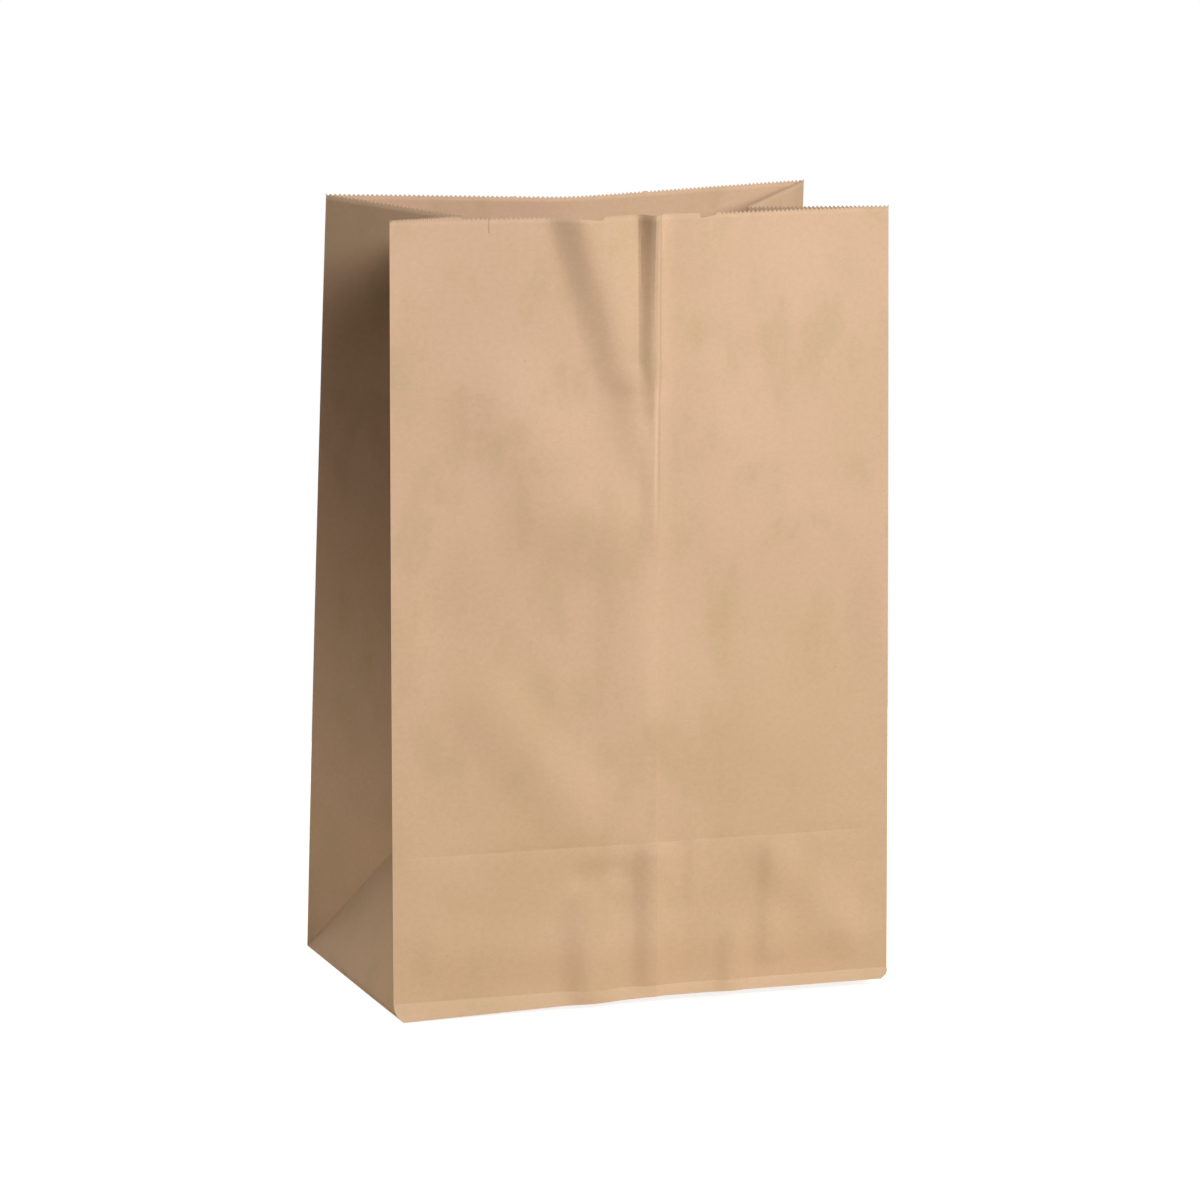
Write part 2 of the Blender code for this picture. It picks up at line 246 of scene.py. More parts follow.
    def edge_fade(self, x: float) -> float:
        """Return 1 over the front, falling to 0 at its two corner folds."""
        return ease(clamp((self.width / 2 - abs(x)) / self.seam_lap))

    def front_point(self, x: float, height: float) -> Vector:
        """Return the place of a point of the front panel.

        Args:
            x: place across the front, in metres from its middle.
            height: place up the sheet, in metres from the bottom fold.

        Returns:
            The point in the sack's frame.
        """
        half = self.width / 2
        up = height / self.height
        middle = 1 - (x / half) ** 2
        bow = self.front_bow * up ** self.bow_growth * middle ** self.front_bow_taper
        inward = height * math.sin(self.front_lean) - bow
        rise = math.sqrt(max(0.0, height ** 2 - inward ** 2))
        drawn_in = 1 - self.front_draw_in / half * up ** 2
        y = -self.depth / 2 + inward - self.front_relief(x, height)
        return Vector((x * drawn_in, y, rise))

    def back_point(self, x: float, height: float) -> Vector:
        """Return the place of a point of the back panel, bent inwards at the top.

        Args:
            x: place across the back, in metres from its middle.
            height: place up the sheet, in metres from the bottom fold.

        Returns:
            The point in the sack's frame.
        """
        half = self.width / 2
        up = height / self.height
        bend = self.back_bend_x
        away = abs(x - bend) / (half - bend if x > bend else half + bend)
        soft = self.back_bend_softness
        tent = 1 - (math.hypot(away, soft) - soft) / (math.hypot(1, soft) - soft)
        twist = self.back_twist * up * (x / self.width + 0.5)
        bow = self.back_bow * up ** self.bow_growth * tent
        inward = height * math.sin(self.back_lean) + bow - twist
        rise = math.sqrt(max(0.0, height ** 2 - inward ** 2))
        drawn_in = 1 - self.back_draw_in / half * up ** 2
        return Vector((x * drawn_in, self.depth / 2 - inward, rise))

    def gusset_apex(self, side: int) -> Vector:
        """Return where a gusset's two diagonal creases meet.

        Args:
            side: -1 for the left gusset, 1 for the right.

        Returns:
            The point in the sack's frame.
        """
        half = self.depth / 2
        inward = half * math.sin(self.gusset_tip)
        return Vector((side * (self.width / 2 - inward), 0.0, half * math.cos(self.gusset_tip)))

    def gusset_top(self, side: int) -> Vector:
        """Return where a gusset's middle crease meets the mouth.

        Args:
            side: -1 for the left gusset, 1 for the right.

        Returns:
            The point in the sack's frame.
        """
        half = self.depth / 2
        front = self.front_point(side * self.width / 2, self.height)
        back = self.back_point(side * self.width / 2, self.height)
        middle = (front + back) / 2
        inward = math.sqrt(half ** 2 - ((back - front) / 2).length_squared)
        apex = self.gusset_apex(side)
        x = middle.x - side * inward
        crease = self.height - half
        rise = math.sqrt(crease ** 2 - (x - apex.x) ** 2 - (middle.y - apex.y) ** 2)
        return Vector((x, middle.y, apex.z + rise))

    def gusset_point(self, side: int, across: float, height: float) -> Vector:
        """Return the place of a point of a gusset.

        Args:
            side: -1 for the left gusset, 1 for the right.
            across: place across the gusset, in metres from its front fold.
            height: place up the sheet, in metres from the bottom fold.

        Returns:
            The point in the sack's frame.
        """
        half_w, half_d = self.width / 2, self.depth / 2
        inset = min(across, self.depth - across)
        apex = self.gusset_apex(side)
        if height <= inset + SAME_PLACE:
            foot = Vector((side * half_w, across - half_d, 0.0))
            middle = Vector((side * half_w, 0.0, 0.0))
            return foot + (apex - middle) * height / half_d
        panel = self.front_point if across <= half_d else self.back_point
        outer = panel(side * half_w, height)
        if height < half_d:
            corner = Vector((side * half_w, -half_d if across <= half_d else half_d, 0.0))
            inner = blend(corner, apex, height / half_d)
        else:
            inner = blend(apex, self.gusset_top(side), (height - half_d) / (self.height - half_d))
        return blend(outer, inner, inset / min(height, half_d))

    def foot_front(self, y: float) -> float:
        """Return 1 at the front edge of the bottom, falling to 0 where the foot's flare ends."""
        return clamp(1 - (y + self.depth / 2) / self.foot_reach)

    def foot_shift(self, x: float, y: float) -> Vector:
        """Return how the bottom departs from a plain rectangle, narrower and raised in front.

        Args:
            x: place across the bottom, in metres from its middle.
            y: place from front to back, in metres from its middle.

        Returns:
            The shift in metres.
        """
        near = self.foot_front(y)
        narrowing = -self.foot_inset * x / (self.width / 2) * (0.5 - y / self.depth)
        rising = clamp((x - self.foot_lift_from) / (self.foot_lift_to - self.foot_lift_from))
        return Vector((narrowing, -self.foot_flare * near, self.foot_lift * rising * near))

    def foot_pull(self, x: float, y: float, height: float) -> Vector:
        """Return how far the bottom's shift pulls the wall above it.

        Args:
            x: place across the bottom, below this place of the wall.
            y: place from front to back, below this place of the wall.
            height: place up the wall, in metres from the bottom fold.

        Returns:
            The pull in metres, which leaves the corners' inset soonest.
        """
        fade = clamp(1 - height / self.foot_height)
        shift = self.foot_shift(x, y)
        return Vector((shift.x * fade ** self.foot_inset_taper, shift.y * fade, shift.z * fade))

    def wall_point(self, around: float, height: float) -> Vector:
        """Return where a point of the tube stands once the blank is folded.

        Args:
            around: place round the tube, in metres from the left end of the front.
            height: place up the sheet, in metres from the bottom fold.

        Returns:
            The point in the sack's frame.
        """
        half_w, half_d = self.width / 2, self.depth / 2
        if around <= self.width:
            x = around - half_w
            return self.front_point(x, height) + self.foot_pull(x, -half_d, height)
        if around <= self.width + self.depth:
            across = around - self.width
            return self.gusset_point(1, across, height) + self.foot_pull(half_w, across - half_d, height)
        if around <= 2 * self.width + self.depth:
            return self.back_point(half_w + self.width + self.depth - around, height)
        across = self.girth - around
        return self.gusset_point(-1, across, height) + self.foot_pull(-half_w, across - half_d, height)

    def flap_layer(self, x: float, y: float) -> Layer:
        """Return which layer of paper is the lowest at this place of the bottom.

        Args:
            x: place across the bottom, in metres from its middle.
            y: place from front to back, in metres from its middle.

        Returns:
            The layer.
        """
        reach = self.width / 2 - abs(x)
        behind = self.depth / 2 - y
        if y > -self.flap_overlap / 2 - SAME_PLACE and behind < reach + SAME_PLACE:
            return Layer.OUTER_FLAP
        inside_overlap = -self.flap_overlap / 2 - SAME_PLACE < y < 0 and reach > self.depth / 2 + y
        if inside_overlap and self.depth / 2 + abs(y) <= reach + self.flap_overlap:
            return Layer.OUTER_FLAP
        if self.depth / 2 + y < reach:
            return Layer.INNER_FLAP
        return Layer.FOLDED_END

    def bottom_point(self, x: float, y: float, level: float) -> Vector:
        """Return the place of a point of the bottom.

        Args:
            x: place across the bottom, in metres from its middle.
            y: place from front to back, in metres from its middle.
            level: how far the paper lies above the resting face, in metres.

        Returns:
            The point in the sack's frame.
        """
        pushed = self.foot_front(y) * self.front_relief(x, 0.0)
        return Vector((x, y - pushed, level)) + self.foot_shift(x, y)


@dataclass
class Mouth:
    """The pinked edge of the mouth, with its thumb tab and the torn nicks beside it."""

    tooth_depth: float = 0.0012
    tab_x: float = 0.0006
    tab_width: float = 0.0552
    left_nick_depth: float = 0.0021
    left_nick_slope: float = 0.013
    right_nick_depth: float = 0.0030
    right_nick_slope: float = 0.010
    nick_wall: float = 0.0008

    @property
    def tab_left(self) -> float:
        """Return the x of the tab's left end."""
        return self.tab_x - self.tab_width / 2

    @property
    def tab_right(self) -> float:
        """Return the x of the tab's right end."""
        return self.tab_x + self.tab_width / 2

    def cuts(self) -> list[float]:
        """Return where the tab and nicks need a column.

        Returns:
            Places across the front, in metres from its middle.
        """
        left, right = self.tab_left, self.tab_right
        walls = [left - self.nick_wall, left, right, right + self.nick_wall]
        return [left - self.left_nick_slope, *walls, right + self.right_nick_slope]

    def front_fall(self, x: float, tooth: float) -> float:
        """Return how far the front's edge lies below the full height at x.

        Args:
            x: place across the front, in metres from its middle.
            tooth: share of the tooth's depth that a plain pinked edge has here.

        Returns:
            The fall in metres.
        """
        left, right = self.tab_left, self.tab_right
        if left - SAME_PLACE <= x <= right + SAME_PLACE:
            return 0.0
        if left - self.left_nick_slope < x < left:
            share = (left - self.nick_wall - x) / (self.left_nick_slope - self.nick_wall)
            return blend(self.left_nick_depth, self.tooth_depth, clamp(share))
        if right < x < right + self.right_nick_slope:
            share = (x - right - self.nick_wall) / (self.right_nick_slope - self.nick_wall)
            return blend(self.right_nick_depth, self.tooth_depth, clamp(share))
        return self.tooth_depth * tooth


@dataclass
class SackSheet:
    """The one folded sheet of the sack."""

    form: FoldedForm = field(default_factory=FoldedForm)
    mouth: Mouth = field(default_factory=Mouth)
    thickness: float = 0.00016
    front_teeth: int = 112
    side_teeth: int = 68
    rows: int = 120
    seam_columns: int = 3
    score_reach: float = 0.005
    sharp_fold: float = math.radians(14)
    name: str = "paper_sack"

    def build(self) -> bpy.types.Object:
        """Make the sheet and fold it.

        Returns:
            The folded sheet.
        """
        blank = self.dieline()
        self.crease(blank)
        self.map_sheet(blank)
        self.pink_mouth(blank)
        self.fold(blank)
        self.finish(blank)
        return blank

    def panel(self, x: float, y: float, size: tuple[float, float],
              cells: tuple[int, int]) -> bpy.types.Object:
        """Lay one flat panel of the blank.

        Args:
            x: left edge on the dieline.
            y: lower edge on the dieline.
            size: width and height of the panel.
            cells: number of cells across and up.

        Returns:
            The panel's object.
        """
        bpy.ops.object.select_all(action="DESELECT")
        bpy.ops.mesh.primitive_grid_add(
            x_subdivisions=cells[0], y_subdivisions=cells[1], size=1.0,
            location=(x + size[0] / 2, y + size[1] / 2, 0.0))
        panel = bpy.context.object
        panel.scale = (size[0], size[1], 1.0)
        bpy.ops.object.transform_apply(location=True, rotation=True, scale=True)
        return panel

    def dieline(self) -> bpy.types.Object:
        """Lay the tube's four panels side by side, with the bottom below the front.

        Returns:
            The flat blank.
        """
        form = self.form
        columns = (self.front_teeth, self.side_teeth // 2, self.front_teeth, self.side_teeth // 2)
        panels = []
        left = 0.0
        for width, cells in zip((form.width, form.depth) * 2, columns):
            panels.append(self.panel(left, 0.0, (width, form.height), (cells, self.rows)))
            left += width
        panels.append(self.panel(0.0, -form.depth, (form.width, form.depth), (columns[0], columns[1])))
        bpy.ops.object.select_all(action="DESELECT")
        for panel in panels:
            panel.select_set(True)
        bpy.context.view_layer.objects.active = panels[0]
        bpy.ops.object.join()
        blank = bpy.context.object
        blank.name = self.name
        blank.data.name = self.name
        self.edit_all(blank)
        bpy.ops.mesh.remove_doubles(threshold=WELD_REACH)
        bpy.ops.object.mode_set(mode="OBJECT")
        return blank

    def edit_all(self, blank: bpy.types.Object) -> None:
        """Open the blank in edit mode with all of it selected.

        Args:
            blank: the blank's object.
        """
        bpy.ops.object.select_all(action="DESELECT")
        blank.select_set(True)
        bpy.context.view_layer.objects.active = blank
        bpy.ops.object.mode_set(mode="EDIT")
        bpy.ops.mesh.select_mode(type="FACE")
        bpy.ops.mesh.select_all(action="SELECT")

    def score(self, blank: bpy.types.Object, box: tuple[float, float, float, float],
              point: tuple[float, float], normal: tuple[float, float]) -> None:
        """Score the blank along a line, within a box of the dieline.

        Args:
            blank: the flat blank.
            box: left, right, low and high limits of the faces that are cut.
            point: a point of the line.
            normal: the direction square to the line.
        """
        left, right, low, high = box
        self.edit_all(blank)
        mesh = bmesh.from_edit_mesh(blank.data)
        for face in mesh.faces:
            middle = face.calc_center_median()
            face.select_set(left < middle.x < right and low < middle.y < high)
        mesh.select_flush_mode()
        bmesh.update_edit_mesh(blank.data)
        bpy.ops.mesh.bisect(
            plane_co=(point[0], point[1], 0.0), plane_no=(normal[0], normal[1], 0.0),
            threshold=WELD_REACH)
        bpy.ops.object.mode_set(mode="OBJECT")

    def crease(self, blank: bpy.types.Object) -> None:
        """Score every fold, flap edge and cut end into the blank.

        Args:
            blank: the flat blank.
        """
        form = self.form
        half_w, half_d = form.width / 2, form.depth / 2
        _, front_end, back_start, back_end = form.corners
        whole_front = (0.0, front_end, -BEYOND, BEYOND)
        whole_back = (back_start, back_end, -BEYOND, BEYOND)
        pitch = form.width / self.front_teeth
        beside_seam = [pitch * (step + 0.5) for step in range(-self.seam_columns, self.seam_columns)]
        for x in [*beside_seam, form.seam_x, form.seam_x + form.seam_run, *self.mouth.cuts()]:
            self.score(blank, whole_front, (x + half_w, 0.0), (1.0, 0.0))
            self.score(blank, whole_back, (back_end - (x + half_w), 0.0), (1.0, 0.0))
        for height in (form.foot_height, form.crease_height):
            row = (-BEYOND, BEYOND, height - self.score_reach, height + self.score_reach)
            self.score(blank, row, (0.0, height), (0.0, 1.0))
        for corner, turn in ((front_end, 1), (back_start, -1), (back_end, 1), (form.girth, -1)):
            low, high = sorted((corner, corner + turn * half_d))
            self.score(blank, (low, high, 0.0, half_d), (corner, 0.0), (1.0, -turn))
        overlap_y = -half_d - form.flap_overlap / 2
        self.score(blank, (0.0, form.width, -form.depth, 0.0), (0.0, overlap_y), (0.0, 1.0))
        for corner, turn in ((0.0, 1), (form.width, -1)):
            low, high = sorted((corner, corner + turn * half_d))
            self.score(blank, (low, high, -half_d, 0.0), (corner, 0.0), (1.0, turn))
            self.score(blank, (low, high, -form.depth, -half_d), (corner, -form.depth), (1.0, -turn))

    def map_sheet(self, blank: bpy.types.Object) -> None:
        """Keep each point's place on the dieline as a UV map, in metres.

        Args:
            blank: the flat blank.
        """
        mesh = blank.data
        layer = mesh.uv_layers[0]
        layer.name = SHEET_MAP
        for loop in mesh.loops:
            place = mesh.vertices[loop.vertex_index].co
            layer.data[loop.index].uv = (place.x, place.y + self.form.depth)

    def pink_mouth(self, blank: bpy.types.Object) -> None:
        """Cut the mouth's teeth, tab and nicks.

        Args:
            blank: the flat blank.
        """
        self.edit_all(blank)
        mesh = bmesh.from_edit_mesh(blank.data)
        rim = [edge for edge in mesh.edges if all(self.at_mouth(vertex) for vertex in edge.verts)]
        cells = {teeth: [edge for edge in rim if self.teeth_in(edge) == teeth] for teeth in (1, 2)}
        for teeth, edges in cells.items():
            bmesh.ops.bisect_edges(mesh, edges=edges, cuts=2 * teeth - 1)
        for vertex in mesh.verts:
            if self.at_mouth(vertex):
                vertex.co.y -= self.mouth_fall(vertex.co.x)
        bmesh.update_edit_mesh(blank.data)
        bpy.ops.object.mode_set(mode="OBJECT")

    def at_mouth(self, vertex: bmesh.types.BMVert) -> bool:
        """Return whether a point of the flat blank lies on the mouth's edge."""
        return abs(vertex.co.y - self.form.height) < SAME_PLACE

    def teeth_in(self, edge: bmesh.types.BMEdge) -> int:
        """Return how many teeth an edge of the mouth carries.

        Args:
            edge: an edge of the mouth, before its teeth are cut.

        Returns:
            1 for a whole cell of the front or back, 2 for one of a gusset, 0 for a short edge.
        """
        form = self.form
        length = edge.calc_length()
        if abs(length - form.width / self.front_teeth) < WELD_REACH:
            return 1
        return 2 if abs(length - 2 * form.depth / self.side_teeth) < WELD_REACH else 0

    def mouth_fall(self, around: float) -> float:
        """Return how far the mouth's edge lies below the full height.

        Args:
            around: place round the tube, in metres from the left end of the front.

        Returns:
            The fall in metres.
        """
        form = self.form
        starts = form.corners
        counts = (self.front_teeth, self.side_teeth) * 2
        widths = (form.width, form.depth) * 2
        side = max(index for index, start in enumerate(starts) if around >= start - SAME_PLACE)
        phase = (around - starts[side]) / widths[side] * counts[side]
        tooth = 1 - abs(2 * (phase - math.floor(phase + SAME_PLACE)) - 1)
        if side == 0:
            return self.mouth.front_fall(around - form.width / 2, tooth)
        return self.mouth.tooth_depth * tooth

    def fold(self, blank: bpy.types.Object) -> None:
        """Fold the blank up, and glue its side and bottom.

        Args:
            blank: the flat blank, creased and pinked.
        """
        form = self.form
        self.edit_all(blank)
        mesh = bmesh.from_edit_mesh(blank.data)
        for vertex in mesh.verts:
            place = vertex.co.copy()
            if place.y >= -SAME_PLACE:
                vertex.co = form.wall_point(place.x, max(0.0, place.y))
            else:
                x, y = place.x - form.width / 2, -place.y - form.depth / 2
                vertex.co = form.bottom_point(x, y, self.bottom_level(x, y))
        bmesh.update_edit_mesh(blank.data)
        bpy.ops.mesh.remove_doubles(threshold=GLUE_REACH)
        bpy.ops.mesh.normals_make_consistent(inside=False)
        bpy.ops.object.mode_set(mode="OBJECT")

    def bottom_level(self, x: float, y: float) -> float:
        """Return how high the lowest layer lies at this place of the bottom.

        Args:
            x: place across the bottom, in metres from its middle.
            y: place from front to back, in metres from its middle.

        Returns:
            The height above the resting face, in metres.
        """
        form = self.form
        edge = min(form.width / 2 - abs(x), form.depth / 2 - abs(y))
        return form.flap_layer(x, y).value * form.flap_step * clamp(edge / form.foot_height)

    def finish(self, blank: bpy.types.Object) -> None:
        """Give the sheet its thickness and its sharp folds.

        Args:
            blank: the folded sheet.
        """
        bpy.ops.object.select_all(action="DESELECT")
        blank.select_set(True)
        bpy.context.view_layer.objects.active = blank
        bpy.ops.object.shade_smooth_by_angle(angle=self.sharp_fold)
        wall = blank.modifiers.new("wall", "SOLIDIFY")
        wall.thickness = self.thickness
        wall.offset = -1.0
        bpy.ops.object.modifier_apply(modifier="wall")


class Value:
    """A socket of a material, on which arithmetic adds the nodes that do it."""

    def __init__(self, board: NodeBoard, socket: bpy.types.NodeSocket) -> None:
        """Keep the board and the socket that this value comes from."""
        self.board = board
        self.socket = socket

    def maths(self, operation: str, first: Value | float, second: Value | float) -> Value:
        """Return a Math node's result for this value and another."""
        return self.board.add("ShaderNodeMath", {"operation": operation}, {0: first, 1: second})

    def __add__(self, other: Value | float) -> Value:
        """Return the sum."""
        return self.maths("ADD", self, other)

    def __radd__(self, other: float) -> Value:
        """Return the sum."""
        return self.maths("ADD", other, self)

    def __sub__(self, other: Value | float) -> Value:
        """Return the difference."""
        return self.maths("SUBTRACT", self, other)

    def __rsub__(self, other: float) -> Value:
        """Return the difference from a number."""
        return self.maths("SUBTRACT", other, self)

    def __mul__(self, other: Value | float) -> Value:
        """Return the product."""
        return self.maths("MULTIPLY", self, other)

    def __rmul__(self, other: float) -> Value:
        """Return the product."""
        return self.maths("MULTIPLY", other, self)

    def __truediv__(self, other: Value | float) -> Value:
        """Return the quotient."""
        return self.maths("DIVIDE", self, other)

    def __abs__(self) -> Value:
        """Return the size without its sign."""
        return self.maths("ABSOLUTE", self, 0.0)

    def near(self, place: float, reach: float) -> Value:
        """Return 1 where this value is at the place, falling to 0 one reach away.

        Args:
            place: where the result is 1.
            reach: how far from there it is 0.

        Returns:
            The nearness, from 0 to 1.
        """
        off = abs(self - place) / reach
        settings = {"operation": "SUBTRACT", "use_clamp": True}
        return self.board.add("ShaderNodeMath", settings, {0: 1.0, 1: off})

    def between(self, low: float, high: float) -> Value:
        """Return how far this value has come from low to high, held between 0 and 1."""
        settings = {"interpolation_type": "SMOOTHSTEP"}
        return self.board.add("ShaderNodeMapRange", settings, {0: self, 1: low, 2: high})


class NodeBoard:
    """The nodes of a material or of the world."""

    def __init__(self, tree: bpy.types.NodeTree) -> None:
        """Keep the node tree that the nodes go into."""
        self.tree = tree

    def add(self, kind: str, settings: dict, inputs: dict, output: int | str = 0) -> Value:
        """Add one node.

        Args:
            kind: the node's type.
            settings: its properties, set before its sockets.
            inputs: what each socket holds or is linked to.
            output: the socket that is wanted.

        Returns:
            The wanted output.
        """
        node = self.tree.nodes.new(kind)
        for key, setting in settings.items():
            setattr(node, key, setting)
        for key, value in inputs.items():
            self.feed(node, key, value)
        return Value(self, node.outputs[output])

    def feed(self, node: bpy.types.Node, key: int | str, value: object) -> None:
        """Set a node's socket, or link it where the value is a socket.

        Args:
            node: the node.
            key: the socket's name or number.
            value: what the socket holds, or the value that is linked to it.
        """
        if isinstance(value, Value):
            self.tree.links.new(value.socket, node.inputs[key])
        else:
            node.inputs[key].default_value = value

    def noise(self, place: Value, scale: float, detail: float, roughness: float = 0.5) -> Value:
        """Return noise from 0 to 1 at a place, with this many waves to a unit."""
        inputs = {"Vector": place, "Scale": scale, "Detail": detail, "Roughness": roughness}
        return self.add("ShaderNodeTexNoise", {}, inputs)

    def mix(self, share: Value | float, low: Value | Colour, high: Value | Colour) -> Value:
        """Return a colour this share of the way from low to high."""
        inputs = {MIX_SHARE: share, MIX_LOW: low, MIX_HIGH: high}
        return self.add("ShaderNodeMix", {"data_type": "RGBA"}, inputs, MIX_RESULT)

    def stretch(self, place: Value, factors: tuple[float, float, float]) -> Value:
        """Return a place with each of its axes scaled."""
        return self.add("ShaderNodeVectorMath", {"operation": "MULTIPLY"}, {0: place, 1: factors})

    def seen(self) -> Value:
        """Tell rays that show a thing to the eye from those that carry light.

        Returns:
            1 for a ray that is straight from the camera, mirrored or through glass, and 0 for others.
        """
        kinds = ("Is Camera Ray", "Is Glossy Ray", "Is Transmission Ray")
        camera, glossy, through = (self.add("ShaderNodeLightPath", {}, {}, kind) for kind in kinds)
        settings = {"operation": "ADD", "use_clamp": True}
        return self.add("ShaderNodeMath", settings, {0: camera + glossy, 1: through})


@dataclass(frozen=True)
class Pattern:
    """A noise over the sheet, with its waves to a millimetre and how it is stretched."""

    waves: float
    detail: float
    roughness: float = 0.5
    stretch: tuple[float, float, float] = (1.0, 1.0, 1.0)

    def over(self, board: NodeBoard, place: Value) -> Value:
        """Return the pattern over a place in millimetres, from 0 to 1."""
        stretched = board.stretch(place, self.stretch)
        return board.noise(stretched, self.waves, self.detail, self.roughness)


@dataclass(frozen=True)
class Tint:
    """How a value tints the paper: from where, to where it is full, and how strongly then."""

    start: float
    full: float
    share: float = 1.0

    def of(self, value: Value) -> Value:
        """Return the share of colour that a value brings."""
        return value.between(self.start, self.full) * self.share


@dataclass(frozen=True)
class KraftFinish:
    """Unbleached kraft paper, on the sheet's own coordinates in millimetres."""

    form: FoldedForm = field(default_factory=FoldedForm)
    name: str = "kraft_paper"
    rosy: Colour = (0.645, 0.435, 0.295, 1.0)
    straw: Colour = (0.574, 0.397, 0.241, 1.0)
    olive: Colour = (0.520, 0.375, 0.215, 1.0)
    pale_fibre_and_highlight: Colour = (0.78, 0.60, 0.43, 1.0)
    dark_fibre_and_shade: Colour = (0.30, 0.185, 0.105, 1.0)
    clouds: Pattern = Pattern(0.011, 2.0)
    blotches: Pattern = Pattern(0.030, 3.0, 0.55, (1.0, 0.6, 1.0))
    formation: Pattern = Pattern(0.33, 3.0, 0.6)
    grain: Pattern = Pattern(1.0, 4.0, 0.7, (3.2, 0.75, 1.0))
    felt: Pattern = Pattern(1.0, 2.0, 0.5, (0.5, 1.9, 1.0))
    speck_waves: float = 0.045
    rosy_clouds: Tint = Tint(0.36, 0.64, 0.45)
    # painted light: the sheet is painted lighter and rosier up the tube, straw lower down, as the light
    # falls from above
    painted_top_light: Tint = Tint(60.0, 340.0, 0.55)
    olive_blotches: Tint = Tint(0.48, 0.68, 0.50)
    dark_formation: Tint = Tint(0.30, 0.75, 0.10)
    pale_grain: Tint = Tint(0.42, 0.80, 0.16)
    dark_grain: Tint = Tint(0.60, 0.25, 0.12)
    dark_specks: Tint = Tint(0.020, 0.012, 0.65)
    # painted shade: a dark line where the cut near the mouth opens onto the shaded inside
    slit_mm: float = 54.0
    slit_half_mm: float = 0.6
    painted_slit_shade: Tint = Tint(423.0, 424.5, 0.55)
    lap_edge_past_seam_mm: float = 0.25
    lap_edge_half_mm: float = 0.7
    lap_opening: Tint = Tint(255.0, 295.0)
    # a dark line at the lap's cut edge: partly the edge's own dark colour, partly painted shadow of the
    # lap's step
    dark_lap_edge_and_shadow: Tint = Tint(0.25, 0.50, 0.38)
    # painted highlight: a pale line along the lifted lip of the lap seam, where it faces the light
    lap_lip_inset_mm: float = 2.2
    lap_lip_half_mm: float = 1.2
    lap_lip_highlight_share: float = 0.30
    # share for the rubbed crease and for the painted highlight and painted light below
    wear_and_light_share: float = 0.35
    crease_half_mm: float = 0.7
    crease_wear: Tint = Tint(0.40, 0.66, 0.45)
    # painted highlight: pale lines along the corner folds, where the folds catch the light
    fold_half_mm: float = 0.6
    fold_highlight: Tint = Tint(0.30, 0.60)
    # painted light: the foot's upturned strip is painted paler, as it faces up to the light
    strip_ends_mm: float = 1.0
    strip_top_mm: float = 0.6
    strip_foot_mm: float = 0.5
    strip_gaps_mm: tuple[tuple[float, float], ...] = ((111.0, 20.0), (187.0, 20.0))
    strip_least_light: float = 0.22
    strip_light_by_grain: Tint = Tint(0.30, 0.65, 0.25)
    roughness: float = 0.78
    roughness_spread: float = 0.12
    specular: float = 0.12
    grain_relief: float = 0.5
    formation_relief: float = 0.4
    felt_relief: float = 0.25
    relief_strength: float = 0.35
    relief_depth: float = 0.00012

    @property
    def lap_edge_mm(self) -> float:
        """Return how far round the tube the lap's cut edge lies, in millimetres."""
        return (self.form.width / 2 + self.form.seam_x) * MM + self.lap_edge_past_seam_mm

    def build(self) -> bpy.types.Material:
        """Make the paper.

        Returns:
            The paper's material.
        """
        material = bpy.data.materials.new(self.name)
        material.use_nodes = True
        board = NodeBoard(material.node_tree)
        paper = material.node_tree.nodes["Principled BSDF"]
        sheet = board.add("ShaderNodeUVMap", {"uv_map": SHEET_MAP}, {})
        place = board.stretch(sheet, (MM, MM, MM))
        across = board.add("ShaderNodeSeparateXYZ", {}, {0: place}, "X")
        up = board.add("ShaderNodeSeparateXYZ", {}, {0: place}, "Y") - self.form.depth * MM
        formation = self.formation.over(board, place)
        grain = self.grain.over(board, place)
        felt = self.felt.over(board, place)
        # painted light in the tone: lighter and rosier towards the top
        tone = self.tone_and_painted_top_light(board, place, up)
        tone = board.mix(self.dark_formation.of(formation), tone, self.dark_fibre_and_shade)
        tone = board.mix(self.pale_grain.of(grain), tone, self.pale_fibre_and_highlight)
        tone = board.mix(self.dark_grain.of(grain), tone, self.dark_fibre_and_shade)
        # the rubbed crease, painted highlight on the corner folds and painted light on the foot's strip
        tone = board.mix(self.wear_and_painted_light(across, up, grain) * self.wear_and_light_share, tone, self.pale_fibre_and_highlight)
        open_lap = self.lap_opening.of(up)
        # painted highlight along the lap's lifted lip
        lip_highlight = across.near(self.lap_edge_mm - self.lap_lip_inset_mm, self.lap_lip_half_mm)
        tone = board.mix(lip_highlight * open_lap * self.lap_lip_highlight_share, tone, self.pale_fibre_and_highlight)
        # painted shade in the cut near the mouth
        slit = across.near(self.slit_mm, self.slit_half_mm) * self.painted_slit_shade.of(up)
        # dark cut edge of the lap, partly painted shadow of its step
        cut_edge_and_shadow = across.near(self.lap_edge_mm, self.lap_edge_half_mm) * open_lap
        # the paper's own specks, with the painted shade of the cut near the mouth and of the lap's edge
        marks_and_shade = self.specks(board, place) + slit + cut_edge_and_shadow * self.dark_lap_edge_and_shadow.of(grain)
        board.feed(paper, "Base Color", board.mix(marks_and_shade, tone, self.dark_fibre_and_shade))
        spread = (grain - NOISE_MIDDLE) * self.roughness_spread
        board.feed(paper, "Roughness", self.roughness + spread)
        board.feed(paper, "Specular IOR Level", self.specular)
        relief = grain * self.grain_relief + formation * self.formation_relief + felt * self.felt_relief
        depth = {"Strength": self.relief_strength, "Distance": self.relief_depth}
        board.feed(paper, "Normal", board.add("ShaderNodeBump", {}, {"Height": relief, **depth}))
        return material

